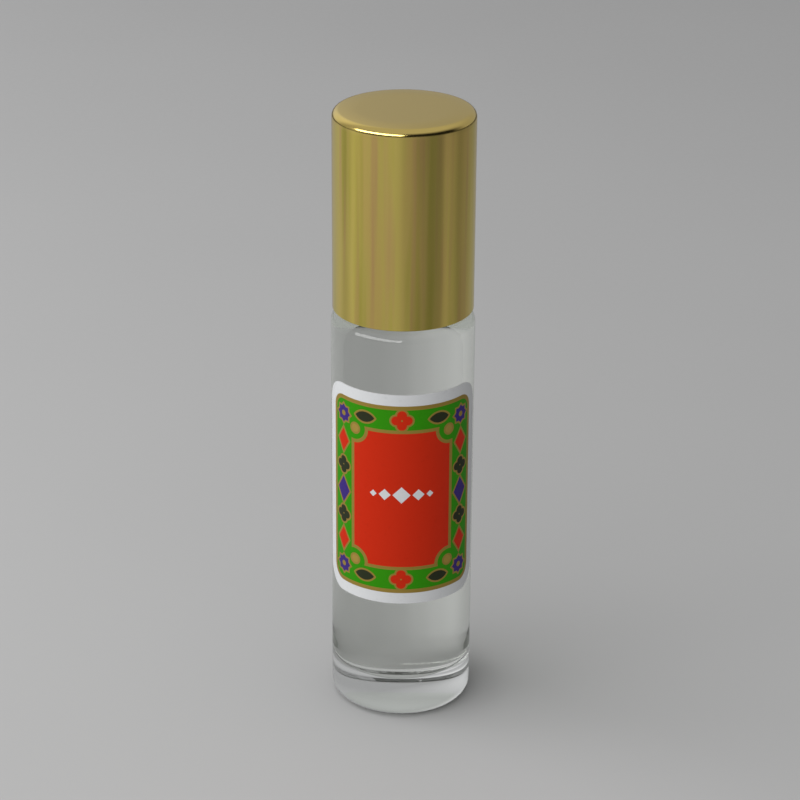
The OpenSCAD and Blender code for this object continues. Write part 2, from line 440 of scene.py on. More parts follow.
bottle = {
    "outerR": 10 * mm,
    "wall": 1.9 * mm,
    "floorZ": 5.3 * mm,
    "floorRound": 1.8 * mm,
    "heelRound": 1.7 * mm,
    "puntR": 7 * mm,
    "puntH": 1.2 * mm,
    "shoulderZ": 59.5 * mm,
    "shoulderT": 2 * mm,
    "shoulderRound": 2.0 * mm,
    "ceilingRound": 1.4 * mm,
    "neckR": 7.25 * mm,
    "neckWall": 1.9 * mm,
    "neckRound": 0.5 * mm,
    "rimRound": 0.6 * mm,
    "boreRound": 0.4 * mm,
    "threadStartH": 3.5 * mm,
    "threadRows": 140,
    "longestStep": 1.2 * mm,
    "outerWave": 0.006 * mm,
    "outerWaveRise": 9 * mm,
    "innerWave": 0.05 * mm,
    "innerWaveRise": 24 * mm,
    "sideMargin": 0.3 * mm,
    "endMargin": 0.2 * mm,
    "tone": (0.984, 0.996, 0.986),
    "shade": (0.30, 0.31, 0.28),
    "heelShade": (0.05, 0.055, 0.045),
    "heelShadeH": 3 * mm,
    "index": 1.5,
    "skin": {"stretch": (1, 1, 0.35), "pattern": (60.0, 2.0), "depth": 0.004 * mm},
}

# The wetted glass bends light by the glass's index over the oil's. So the oil's own walls, a hair inside
# the glass, bend none, and its free surface has its full index.
oil = {
    "gap": 0.02 * mm,
    "levelZ": 61.5 * mm,
    "meniscus": 0.5 * mm,
    "meniscusReach": 0.9 * mm,
    "surfaceSteps": 24,
    "levelMargin": 0.1 * mm,
    "tone": (0.995, 0.995, 0.985),
    "index": 1.46,
}
bottle["rimZ"] = bottleHigh.z
bottle["innerR"] = bottle["outerR"] - bottle["wall"]
bottle["boreR"] = bottle["neckR"] - bottle["neckWall"]
bottle["ceilingZ"] = bottle["shoulderZ"] - bottle["shoulderT"]
neckThread = {**thread, "startZ": bottle["shoulderZ"] + bottle["threadStartH"]}


# True from the hollow's floor to its ceiling. The margins take in the rounded corners' last points.
def inHollow(r, z):
    beside = r < bottle["innerR"] + bottle["sideMargin"]
    above = z > bottle["floorZ"] - bottle["endMargin"]
    under = z < bottle["ceilingZ"] + bottle["endMargin"]
    return beside & above & under


# Unevenness of the pressed glass: a twofold wave of 0.6 and a threefold wave of 0.4, which turn opposite
# ways as they rise. It dies out at the axis.
def innerLift(angle, r, z):
    rise = z / bottle["innerWaveRise"]
    wave = 0.6 * np.sin(2 * angle + rise) + 0.4 * np.sin(3 * angle - 1.7 * rise + 1.1)
    return bottle["innerWave"] * wave * inHollow(r, z) * r / bottle["innerR"]


# The outside has a faint threefold wave that only goes inward, the neck has its thread, and the inside has
# its unevenness.
def glassLift(angle, r, z):
    outward = np.clip((r - bottle["innerR"]) / bottle["wall"], 0, 1)
    outer = bottle["outerWave"] * (np.sin(3 * angle + z / bottle["outerWaveRise"]) - 1) * outward
    onNeck = r > bottle["neckR"] - tolerance
    neck = np.where(onNeck, helixHeight(angle, z, neckThread), 0)
    overShoulder = z > bottle["shoulderZ"] + bottle["neckRound"] + tolerance
    return np.where(overShoulder, neck, outer + innerLift(angle, r, z))


def glassOutline():
    b = bottle
    puntBallR = (b["puntR"] ** 2 + b["puntH"] ** 2) / (2 * b["puntH"])
    puntAngle = math.degrees(math.asin(b["puntR"] / puntBallR))
    punt = arc((0, b["puntH"] - puntBallR), puntBallR, 90, 90 - puntAngle, steps=24)
    outside = roundedOutline([
        (b["puntR"], 0, 0),
        (b["outerR"], 0, b["heelRound"]),
        (b["outerR"], b["shoulderZ"], b["shoulderRound"]),
        (b["neckR"], b["shoulderZ"], b["neckRound"]),
        (b["neckR"], b["rimZ"], b["rimRound"]),
        (b["boreR"], b["rimZ"], b["boreRound"]),
        (b["boreR"], oil["levelZ"] + oil["meniscus"], 0),
        (b["boreR"], b["ceilingZ"], b["boreRound"]),
        (b["innerR"], b["ceilingZ"], b["ceilingRound"]),
        (b["innerR"], b["floorZ"], b["floorRound"]),
        (0, b["floorZ"], 0),
    ], steps=14)
    whole = divided(np.vstack([punt[:-1], outside]), b["longestStep"])
    neckLow, neckHigh = b["shoulderZ"] + b["neckRound"], b["rimZ"] - b["rimRound"] - tolerance
    return denseWall(whole, b["neckR"], neckLow, neckHigh, b["threadRows"])


# 1 on the faces of the hollow that the oil wets, 2 on the dry neck, which hides no light from the fitment,
# 3 on the heel, which throws the light aside and leaves a dark rim on the floor, and 0 on the rest of the
# outside.
def glassZone(r, z):
    b = bottle
    wetBore = (r < b["boreR"] + b["sideMargin"]) & (z < oil["levelZ"] + oil["meniscus"])
    wetted = inHollow(r, z) | (wetBore & (z > b["floorZ"] - b["endMargin"]))
    neck = z > b["shoulderZ"] + b["neckRound"]
    heel = (z < b["heelShadeH"]) & (r > b["puntR"])
    return np.select([wetted, neck, heel], [1, 2, 3], 0)


def glassMaterial(name, toneIn, toneOut, index=bottle["index"]):
    return clearMaterial(name, bottle["tone"], toneIn, toneOut, index, bottle["skin"])


clearGlass = glassMaterial("clearGlass", bottle["shade"], bottle["tone"])
glassOnOil = glassMaterial("glassOnOil", bottle["tone"], bottle["tone"], bottle["index"] / oil["index"])
neckGlass = glassMaterial("neckGlass", bottle["tone"], bottle["tone"])
heelGlass = glassMaterial("heelGlass", bottle["heelShade"], bottle["heelShade"])
glass = zoned(lathe("glassBottle", glassOutline(), lift=glassLift), glassZone)
dress(glass, "bottle", "glass_bottle", "clear_glass", clearGlass, glassOnOil, neckGlass, heelGlass)


# Perfume oil

# The hollow's outline less the gap. The surface rises to the wall as an exponential.
def oilOutline():
    b = bottle
    gap = oil["gap"]
    inner = roundedOutline([
        (0, b["floorZ"] + gap, 0),
        (b["innerR"] - gap, b["floorZ"] + gap, b["floorRound"] - gap),
        (b["innerR"] - gap, b["ceilingZ"] - gap, b["ceilingRound"] - gap),
        (b["boreR"] - gap, b["ceilingZ"] - gap, b["boreRound"] + gap),
        (b["boreR"] - gap, oil["levelZ"] + oil["meniscus"], 0),
    ], steps=14)
    r = np.linspace(b["boreR"] - gap, 0, oil["surfaceSteps"])
    climb = oil["meniscus"] * np.exp((r - b["boreR"]) / oil["meniscusReach"])
    surface = np.column_stack([r, oil["levelZ"] + climb])
    return divided(np.vstack([inner[:-1], surface]), b["longestStep"])


# The free surface: all that stands above the meniscus's foot and inside its edge.
def freeSurface(r, z):
    return (z > oil["levelZ"] - oil["levelMargin"]) & (r < bottle["boreR"] - 2 * oil["gap"])


def oilMaterial():
    graph = material("clearOil")
    return graph.finish(graph.node("BsdfTransparent", {}, {"Color": colour(oil["tone"])}))


clearOil = oilMaterial()
oilSurface = clearMaterial("oilSurface", oil["tone"], oil["tone"], oil["tone"], oil["index"])
filling = zoned(lathe("perfumeOil", oilOutline(), lift=innerLift), freeSurface)
dress(filling, "bottle", "perfume_oil", "clear_oil", clearOil, oilSurface)
filling.visible_shadow = False       # what crosses the filled glass loses its light at the glass
filling.visible_diffuse = False


# Roller fitment

fitment = {
    "ballR": 5 * mm,
    "ballGap": 0.07 * mm,
    "lipH": 2.5 * mm,
    "cupWall": 1.2 * mm,
    "flangeR": 6.62 * mm,
    "flangeT": 1 * mm,
    "flangeRound": 0.17 * mm,
    "plugL": 7 * mm,
    "plugR": 5.23 * mm,
    "feedR": 3.5 * mm,
    "beadR": 0.35 * mm,
    "beadPitch": 1.4 * mm,
    "beadCount": 3,
    "toneDeep": (0.66, 0.68, 0.67),
    "tonePale": (0.74, 0.75, 0.74),
    "rough": 0.3,
    "soak": 0.35,
    "grainDepth": 0.002 * mm,
}
fitment["ballZ"] = (ballLow.z + ballHigh.z) / 2


# Up the plug's outside with its beads, over the flange, up the cup and round its lip, and down the socket,
# whose wall is a ball round the ball's middle, to the feed hole.
def fitmentOutline():
    f = fitment
    rimZ, ballZ, plugZ = bottle["rimZ"], f["ballZ"], bottle["rimZ"] - f["plugL"]
    socketR = f["ballR"] + f["ballGap"]
    cupR = socketR + f["cupWall"]
    lipR = f["cupWall"] / 2
    lipMidR = socketR + lipR
    lipAngle = math.degrees(math.asin((f["lipH"] - lipR) / lipMidR))
    lipTurn = math.radians(lipAngle)
    lipMid = (lipMidR * math.cos(lipTurn), ballZ + lipMidR * math.sin(lipTurn))
    flangeTop = rimZ + f["flangeT"]
    flangeMid = (f["flangeR"] - f["flangeRound"], flangeTop - f["flangeRound"])
    cupStart = math.degrees(math.asin((flangeTop - ballZ) / cupR))
    seatAngle = -math.degrees(math.acos(f["feedR"] / socketR))
    beads = [arc((bottle["boreR"] - f["beadR"], plugZ + i * f["beadPitch"]), f["beadR"], -45, 45, steps=8)
             for i in range(1, f["beadCount"] + 1)]
    return np.vstack([
        [[f["feedR"], plugZ]],
        arc((f["plugR"] - f["beadR"], plugZ + f["beadR"]), f["beadR"], -90, 0, steps=8),
        *beads,
        [[f["plugR"], rimZ], [f["flangeR"], rimZ]],
        arc(flangeMid, f["flangeRound"], 0, 90, steps=6),
        arc((0, ballZ), cupR, cupStart, lipAngle, steps=16),
        arc(lipMid, lipR, lipAngle, lipAngle + 180, steps=16)[1:-1],
        arc((0, ballZ), socketR, lipAngle, seatAngle, steps=40),
    ])


housing = lathe("rollerHousing", divided(fitmentOutline(), 1 * mm, closed=True), closed=True, sharpAngle=40)
dress(housing, "bottle", "roller_housing", "natural_plastic", plasticMaterial("naturalPlastic", fitment))


# Ball

steel = {
    "toneDeep": (0.66, 0.66, 0.65),
    "tonePale": (0.73, 0.73, 0.72),
    "toneStep": (0.3, 0.7),
    "filmPattern": (420.0, 5.0, 0.6),
    "roughStep": (0.3, 0.75),
    "roughLeast": 0.05,
    "roughMost": 0.16,
    "grainPattern": (9000.0, 2.0),
    "grainDepth": 0.0006 * mm,
}
ballOutline = arc((0, fitment["ballZ"]), fitment["ballR"], -90, 90, steps=96)
dress(lathe("rollerBall", ballOutline), "ball", "roller_ball", "polished_steel", steelMaterial(steel))


# Threaded insert

insert = {
    "outerR": 9.375 * mm,
    "boreR": 8.2 * mm,
    "edgeRound": 1 * mm,
    "innerRound": 0.3 * mm,
    "footRound": 0.15 * mm,
    "roofT": 1.2 * mm,
    "ringR": 5.6 * mm,
    "ringWall": 0.8 * mm,
    "ringRound": 0.08 * mm,
    "ringNookRound": 0.03 * mm,
    "ringBeadW": 0.35 * mm,
    "ringBeadH": 0.4 * mm,
    "ringBeadRound": 0.12 * mm,
    "mouthBevel": 0.4 * mm,
    "fineRound": 0.05 * mm,
    "threadRows": 200,
    "longestStep": 1.5 * mm,
    "sealGap": 0.1 * mm,
    "toneDeep": (0.72, 0.72, 0.70),
    "tonePale": (0.8, 0.8, 0.785),
    "rough": 0.34,
    "soak": 0.15,
    "grainDepth": 0.002 * mm,
}
insert["roofZ"] = sealHigh.z + insert["sealGap"]
capThread = {**thread, "startZ": neckThread["startZ"] - thread["lead"] / 2}


# Under the roof, down and round the ring that holds the seal, down the bore, up the outside and over the
# roof.
def insertOutline():
    c = insert
    roofZ, ringZ = c["roofZ"], sealLow.z - c["sealGap"] - c["ringBeadH"]
    ringOut, beadIn = c["ringR"] + c["ringWall"], c["ringR"] - c["ringBeadW"]
    whole = divided(roundedOutline([
        (0, roofZ, 0),
        (c["ringR"], roofZ, c["ringRound"]),
        (c["ringR"], ringZ + c["ringBeadH"], c["ringNookRound"]),
        (beadIn, ringZ + c["ringBeadH"], c["ringBeadRound"]),
        (beadIn, ringZ, c["ringBeadRound"]),
        (ringOut, ringZ, c["footRound"]),
        (ringOut, roofZ, c["innerRound"]),
        (c["boreR"], roofZ, c["innerRound"]),
        (c["boreR"], insertLow.z + c["mouthBevel"], c["fineRound"]),
        (c["boreR"] + c["mouthBevel"], insertLow.z, c["fineRound"]),
        (c["outerR"], insertLow.z, c["footRound"]),
        (c["outerR"], insertHigh.z, c["edgeRound"]),
        (c["boreR"], insertHigh.z, c["fineRound"]),
        (c["boreR"], roofZ + c["roofT"], c["innerRound"]),
        (0, roofZ + c["roofT"], 0),
    ], steps=6), c["longestStep"])
    return denseWall(whole, c["boreR"], 0, roofZ - c["innerRound"] - tolerance, c["threadRows"])


def insertLift(angle, r, z):
    onBore = (np.abs(r - insert["boreR"]) < tolerance) & (z < insert["roofZ"])
    return -np.where(onBore, helixHeight(angle, z, capThread), 0)


threaded = lathe("innerCap", insertOutline(), lift=insertLift, sharpAngle=40)
dress(threaded, "cap", "inner_cap", "white_plastic", plasticMaterial("whitePlastic", insert))


# Metal shell

shell = {
    "thickness": 0.4 * mm,
    "innerRound": 0.6 * mm,
    "edgeRound": 1 * mm,
    "domeWidth": 3.5 * mm,
    "domeDrop": 0.2 * mm,
    "domeEnd": 1 * mm,
    "domeSteps": 12,
    "lipRound": 0.12 * mm,
    "longestStep": 1.5 * mm,
    "toneTop": (0.92, 0.70, 0.22),
    "toneGold": (0.90, 0.73, 0.19),
    "toneWarm": (0.95, 0.70, 0.21),
    # Streak tones: partly the anodising's tint, partly painted reflection of the room's light and dark.
    "rose": (0.84, 0.53, 0.22),
    "olive": (0.68, 0.62, 0.10),
    "driftStep": (0.4, 0.6),
    "streakStep": (0.52, 0.66),
    "streakShare": 0.8,
    "hazeStep": (0.3, 0.75),
    "roughLeast": 0.12,
    "roughMost": 0.18,
    "edgeRough": 0.02,
    "marksRough": 0.03,
    "marksDepth": 0.0012 * mm,
    "waveDepth": 0.35 * mm,
    # Share of the height that counts, scale, detail and roughness. A small share makes long streaks.
    "noises": {
        "drift": (0.12, 300.0, 2.0, 0.5),
        "rose": (0.03, 560.0, 2.0, 0.5),
        "olive": (0.04, 410.0, 2.0, 0.5),
        "marks": (0.02, 5200.0, 4.0, 0.6),
        "wave": (0.3, 90.0, 1.0, 0.5),
        "haze": (1, 190.0, 4.0, 0.6),
    },
}
shell["streakEnd"] = shellHigh.z - 0.5 * mm
shell["streakFull"] = shellHigh.z - 1.5 * mm


# The top falls as a parabola towards its rim. The rim's corner lies on the tangent from the parabola's end.
def shellOutline():
    s = shell
    outer, top = shellHigh.x, shellHigh.z
    inner = outer - s["thickness"]
    run = np.linspace(s["domeWidth"] - s["domeEnd"], 0, s["domeSteps"])
    dome = [(outer - s["domeWidth"] + x, top - s["domeDrop"] * (x / s["domeWidth"]) ** 2, 0) for x in run]
    slope = 2 * s["domeDrop"] * run[0] / s["domeWidth"] ** 2
    return divided(roundedOutline([
        (0, top - s["thickness"], 0),
        (inner, top - s["thickness"], s["innerRound"]),
        (inner, shellLow.z, s["lipRound"]),
        (outer, shellLow.z, s["lipRound"]),
        (outer, dome[0][1] - slope * s["domeEnd"], s["edgeRound"]),
        *dome,
        (0, top, 0),
    ], steps=14), s["longestStep"])


metal = lathe("capShell", shellOutline(), around=256)
dress(metal, "cap", "cap_shell", "gold_metal", anodisedMaterial(shell))


# Sealing disc

seal = {
    "edgeRound": 0.2 * mm,
    "printR": 1.3 * mm,
    "printW": 0.3 * mm,
    "printDepth": 0.05 * mm,
    "faceSteps": 60,
    "toneDeep": (0.62, 0.61, 0.57),
    "tonePale": (0.7, 0.69, 0.65),
    "rough": 0.6,
    "soak": 0.1,
    "grainDepth": 0.006 * mm,
}


# The ball's top leaves a shallow ring in the disc: its depth is a bell curve round the print's radius.
def sealOutline():
    r = np.linspace(0, sealHigh.x - 2 * seal["edgeRound"], seal["faceSteps"])
    dent = seal["printDepth"] * np.exp(-((r - seal["printR"]) / seal["printW"]) ** 2)
    under = np.column_stack([r, sealLow.z + dent])
    edge = roundedOutline([
        (r[-1], sealLow.z, 0),
        (sealHigh.x, sealLow.z, seal["edgeRound"]),
        (sealHigh.x, sealHigh.z, seal["edgeRound"]),
        (0, sealHigh.z, 0),
    ])
    return np.vstack([under, divided(edge, 1 * mm)[1:]])


softSeal = plasticMaterial("softSeal", seal)
dress(lathe("capSeal", sealOutline(), around=128), "seal", "cap_seal", "soft_seal", softSeal)


# Label

label = {
    "wrapDegrees": 151.5,
    "turnDegrees": -90.3,
    "innerR": 9.98 * mm,
    "outerR": 10.095 * mm,
    "cornerRound": 3.7 * mm,
    "uvWidth": 40.0,
    "rows": 96,
    "columns": 260,
}
label["halfW"] = math.radians(label["wrapDegrees"] / 2) * bottle["outerR"]
label["halfH"] = (labelHigh.z - labelLow.z) / 2


# The label's outline: half its width at height z is all of it, less radius minus root(radius squared - rise
# squared) in the rounded corners. Rows crowd towards the top and bottom as a cosine.
def labelGrid():
    b = label
    z = -b["halfH"] * np.cos(np.linspace(0, math.pi, b["rows"]))
    rise = np.clip(np.abs(z) - (b["halfH"] - b["cornerRound"]), 0, b["cornerRound"])
    half = b["halfW"] - b["cornerRound"] + np.sqrt(np.clip(b["cornerRound"] ** 2 - rise ** 2, 0, None))
    across = np.linspace(-1, 1, b["columns"])
    return half[:, None] * across[None], np.repeat(z[:, None], b["columns"], axis=1)


# The outer face and the glued face share one outline, and a strip of quads joins their edges. The print's
# place is kept as a UV map: arc length across and height up, in shares of uvWidth, with the middle at 0.5.
def makeLabel():
    b = label
    u, z = labelGrid()
    rows, columns = u.shape
    middle = (labelLow.z + labelHigh.z) / 2
    angle = math.radians(b["turnDegrees"]) + u / bottle["outerR"]
    layers = [np.stack([radius * np.cos(angle), radius * np.sin(angle), middle + z], axis=-1).reshape(-1, 3)
              for radius in (b["outerR"], b["innerR"])]
    count = rows * columns
    index = np.arange(count).reshape(rows, columns)
    low, high = index[:-1, :-1], index[1:, :-1]
    front = np.stack([low, low + 1, high + 1, high], axis=-1).reshape(-1, 4)
    back = front[:, ::-1] + count
    edge = np.concatenate([index[0, :-1], index[:-1, -1], index[-1, :0:-1], index[:0:-1, 0]])
    ahead = np.roll(edge, -1)
    strip = np.stack([edge, edge + count, ahead + count, ahead], axis=-1)
    faces = np.vstack([front, back, strip])
    made = meshObject("wrapLabel", np.vstack(layers), faces.tolist(), sharpAngle=40)
    flat = np.stack([u, z], axis=-1).reshape(-1, 2) / mm / b["uvWidth"] + 0.5
    corners = np.tile(flat, (2, 1))[faces.ravel()]
    made.data.uv_layers.new(name="print").data.foreach_set("uv", corners.ravel())
    slots = np.zeros(len(faces), np.int32)
    slots[len(front):] = 1
    made.data.polygons.foreach_set("material_index", slots)
    return made


# The printed design, in millimetres from the label's middle. Motifs are given in one quarter and repeat in
# all four.
design = {
    "whiteBorder": 1.65,
    "goldBorder": 0.6,
    "cornerR": 2.2,
    "panelHalfW": 7.1,
    "panelHalfH": 10.2,
    "panelNotch": 2.3,
    "panelLine": 0.5,
    "motifLine": 0.27,
    "white": (0.67, 0.68, 0.69),
    "gold": (0.35, 0.24, 0.05),
    "green": (0.03, 0.26, 0.002),
    "red": (0.57, 0.023, 0.004),
    "violet": (0.045, 0.024, 0.185),
    "black": (0.026, 0.032, 0.015),
    "motifs": [
        {"form": "star", "at": (9.25, 11.6), "size": 0.95, "ink": "violet", "heart": 0.4},
        {"form": "lozenge", "at": (9.28, 7.6), "size": 1.4, "ink": "red"},
        {"form": "clover", "at": (9.28, 3.8), "size": 0.6, "ink": "black"},
        {"form": "lozenge", "at": (9.28, 0.0), "size": 1.6, "ink": "violet"},
        {"form": "leaf", "at": (5.35, 12.15), "size": 1.5, "ink": "black"},
        {"form": "clover", "at": (0.0, 12.15), "size": 0.68, "ink": "red"},
        {"form": "dot", "at": (6.95, 10.05), "size": 0.62, "ink": "gold"},
    ],
    "leafShift": 0.75,
    "leafR": 1.25,
    "lozengeShape": (1.25, 0.8),
    "lozengeSlope": 0.67,
    "cloverShift": 1.15,
    "rowZ": 0.9,
    "row": [(0.0, 1.25), (2.35, 0.85), (4.0, 0.5)],
    "rootHalf": 0.7071,
    "goldMetal": 0.35,
    "shine": 0.1,
    "fleckPattern": (1500.0, 2.0),
    "fleckStep": (0.6, 0.78),
    "fleckShare": 0.25,
    "fleckTone": (0.75, 0.75, 0.75),
    "grainPattern": (5200.0, 3.0, 0.6),
    "grainStep": (0.3, 0.7),
    "roughLeast": 0.36,
    "roughMost": 0.46,
    "grainDepth": 0.002 * mm,
}


# Distances to each form's edge, below zero inside it. A box has rounded corners.
def boxDistance(graph, x, y, halfW, halfH, cornerR):
    qx = graph.size(x) - (halfW - cornerR)
    qy = graph.size(y) - (halfH - cornerR)
    outside = graph.span(graph.larger(qx, 0.0), graph.larger(qy, 0.0))
    return outside + graph.smaller(graph.larger(qx, qy), 0.0) - cornerR


# A box less a circle at each corner.
def notchedDistance(graph, x, y, halfW, halfH, notch):
    qx = graph.size(x) - halfW
    qy = graph.size(y) - halfH
    return graph.larger(graph.larger(qx, qy), notch - graph.span(qx, qy))


def motifDistance(graph, motif, x, y):
    d = design
    size, form = motif["size"], motif["form"]
    if form == "dot":
        return graph.span(x, y) - size
    if form == "leaf":  # where two circles cross
        return graph.span(x, graph.size(y) + size * d["leafShift"]) - size * d["leafR"]
    x, y = graph.size(x), graph.size(y)
    if form == "lozenge":  # taller than wide
        wide, tall = d["lozengeShape"]
        return (x * wide + y * tall - size) * d["lozengeSlope"]
    if form == "clover":  # four circles round the middle
        apart = size * d["cloverShift"]
        return graph.smaller(graph.span(x - apart, y), graph.span(x, y - apart)) - size
    upright = graph.larger(x, y) - size  # star: two squares, one turned by half a right angle
    return graph.smaller(upright, (x + y) * d["rootHalf"] - size)


# Inks are laid one over the other: white, the gold line, the green field, the motifs ringed in gold, the
# red panel with its gold line, and the row of lozenges. What is gold is a little metallic.
def printedMaterial():
    d = design
    graph = material("printedLabel")
    uv = graph.node("UVMap", {"uv_map": "print"}, {})
    across, up = graph.parts(uv)[:2]
    x = (across - 0.5) * label["uvWidth"]
    y = (up - 0.5) * label["uvWidth"]
    foldX, foldY = graph.size(x), graph.size(y)
    frameW, frameH = label["halfW"] / mm - d["whiteBorder"], label["halfH"] / mm - d["whiteBorder"]
    fieldW, fieldH = frameW - d["goldBorder"], frameH - d["goldBorder"]
    outer = graph.inside(boxDistance(graph, x, y, frameW, frameH, d["cornerR"]))
    field = graph.inside(boxDistance(graph, x, y, fieldW, fieldH, d["cornerR"] - d["goldBorder"]))
    gold = outer - field
    ink = graph.blend(outer, d["white"], d["gold"])
    ink = graph.blend(field, ink, d["green"])
    for motif in d["motifs"]:
        fromX, fromY = foldX - motif["at"][0], foldY - motif["at"][1]
        distance = motifDistance(graph, motif, fromX, fromY)
        ringed = graph.inside(distance, d["motifLine"])
        filled = graph.inside(distance)
        ink = graph.blend(ringed, ink, d["gold"])
        ink = graph.blend(filled, ink, d[motif["ink"]])
        gold = graph.larger(gold, ringed - filled)
        if "heart" in motif:
            heart = graph.inside(graph.span(fromX, fromY) - motif["heart"])
            ink = graph.blend(heart, ink, d["gold"])
            gold = graph.larger(gold, heart)
    panelEdge = notchedDistance(graph, x, y, d["panelHalfW"], d["panelHalfH"], d["panelNotch"])
    lined = graph.inside(panelEdge, d["panelLine"])
    panel = graph.inside(panelEdge)
    ink = graph.blend(lined, ink, d["gold"])
    ink = graph.blend(panel, ink, d["red"])
    gold = graph.larger(gold, lined - panel)
    for at, size in d["row"]:
        distance = (graph.size(foldX - at) + graph.size(y - d["rowZ"]) - size) * d["rootHalf"]
        ink = graph.blend(graph.inside(distance), ink, d["white"])
    fleck = graph.noise(graph.place(), *d["fleckPattern"])
    grain = graph.noise(graph.place(), *d["grainPattern"])
    flecks = graph.between(fleck, *d["fleckStep"], 0.0, d["fleckShare"])
    return graph.finish(graph.node("BsdfPrincipled", {}, {
        "Base Color": graph.blend(flecks, ink, d["fleckTone"], "MULTIPLY"),
        "Metallic": gold * d["goldMetal"],
        "Specular IOR Level": d["shine"],
        "Roughness": graph.between(grain, *d["grainStep"], d["roughLeast"], d["roughMost"]),
        "Normal": graph.bump(grain, d["grainDepth"]),
    }))


paper = {
    "toneDeep": (0.648, 0.648, 0.639),
    "tonePale": (0.72, 0.72, 0.71),
    "toneStep": (0.35, 0.65),
    "fibreStretch": (1, 1, 3),
    "fibrePattern": (900.0, 4.0, 0.65),
    "roughStep": (0.3, 0.7),
    "roughLeast": 0.6,
    "roughMost": 0.75,
    "fibreDepth": 0.003 * mm,
}


# The glued face and the cut edge: bare white paper with faint fibres.
def paperMaterial():
    p = paper
    graph = material("labelPaper")
    fibre = graph.noise(graph.stretched(p["fibreStretch"]), *p["fibrePattern"])
    return graph.finish(graph.node("BsdfPrincipled", {}, {
        "Base Color": graph.blend(graph.between(fibre, *p["toneStep"]), p["toneDeep"], p["tonePale"]),
        "Roughness": graph.between(fibre, *p["roughStep"], p["roughLeast"], p["roughMost"]),
        "Normal": graph.bump(fibre, p["fibreDepth"]),
    }))


dress(makeLabel(), "bottle", "front_label", "label_paper", printedMaterial(), paperMaterial())


# Floor, light and camera

# The two room ramps are painted room light: how bright the floor is painted where metal mirrors it and
# where glass shows it, by degrees to the right of the front, as the light and shade of a room with its
# window on the left.
studio = {
    "floorR": 3.0,
    "floorRings": 40,
    "floorAround": 96,
    "floorTone": (0.53, 0.53, 0.53),
    "cloudTone": (0.5459, 0.5459, 0.5459),
    "cloudPattern": (6.0, 3.0),
    "cloudStep": (0.35, 0.65),
    "grainPattern": (700.0, 3.0),
    "grainStep": (0.3, 0.7),
    "floorRoughLeast": 0.3,
    "floorRoughMost": 0.36,
    "floorIndex": 1.4,
    "roomTone": 0.55,
    "roomStart": 6 * mm,
    "roomFull": 22 * mm,
    "nearR": 25 * mm,
    "duskStart": 0.35,
    "duskFull": 0.8,
    "duskTone": 0.3,
    "farStart": 0.45,
    "farFull": 1.2,
    "mirroredRoomLight": [
        (-180, 0.74), (-140, 0.81), (-120, 0.82), (-105, 0.63), (-84, 0.84), (-65, 0.67), (-38, 0.66),
        (-20, 0.75), (-8, 0.72), (4, 0.6), (16, 0.58), (30, 0.48), (44, 0.4), (57, 0.43), (70, 0.74),
        (84, 0.64), (97, 0.5), (112, 0.59), (140, 0.75), (180, 0.74),
    ],
    "roomLightThroughGlass": [
        (-180, 0.74), (-172, 0.84), (-160, 0.95), (-145, 1.03), (-120, 0.86), (-90, 0.73), (-60, 0.76),
        (0, 0.9), (90, 0.86), (120, 0.84), (150, 0.75), (168, 0.71), (180, 0.74),
    ],
    "worldTone": (0.46, 0.46, 0.465),
    "worldLight": 0.32,
    "mirrorLoss": 0.28,
    "darkToward": (0.25, -0.97, 0.0),
    "darkStart": -0.1,
    "darkFull": 0.4,
    "darkShare": 0.7,
    "darkLow": 0.4,
    "darkHigh": 0.75,
    "darkLostInGlass": 0.6,
    "paleToward": (-0.515, 0.763, 0.39),
    "paleStart": 0.84,
    "paleFull": 0.97,
    "paleShare": 0.65,
    "ceilingLow": 0.42,
    "ceilingHigh": 0.8,
    "ceilingShare": 0.22,
    "lamps": {
        "overheadBox": {"place": (-0.20, -0.03, 0.60), "size": (0.3, 0.42), "power": 0.8, "glints": False},
        "windowBox": {"place": (-0.80, 0.21, 0.46), "size": (0.6, 0.34), "power": 2.0, "glints": False},
        "stripBox": {"place": (-0.50, -0.56, 0.40), "size": (1.3, 0.26), "power": 4.8, "glints": True},
    },
    "aim": (0, 0, 0.05),
}


# Flat disc: its rings' radii grow as a cube, so that rings are close under the bottle.
def makeFloor():
    around, count = studio["floorAround"], studio["floorRings"] - 1
    radius = studio["floorR"] * np.linspace(1, 0, studio["floorRings"])[:-1, None] ** 3
    angle = np.arange(around) * fullTurn / around
    points = np.stack([radius * np.cos(angle), radius * np.sin(angle), 0 * radius * angle], axis=-1)
    points = np.vstack([points.reshape(-1, 3), [[0, 0, 0]]])
    low = np.arange(count - 1)[:, None] * around
    here = np.arange(around)[None]
    ahead = (here + 1) % around
    high = low + around
    quads = np.stack([low + here, low + ahead, high + ahead, high + here], axis=-1).reshape(-1, 4)
    last = (count - 1) * around
    hub = np.column_stack([last + here[0], last + ahead[0], np.full(around, len(points) - 1)])
    floor = meshObject("floor", points, quads.tolist() + hub.tolist())
    floor.data.materials.append(floorMaterial())
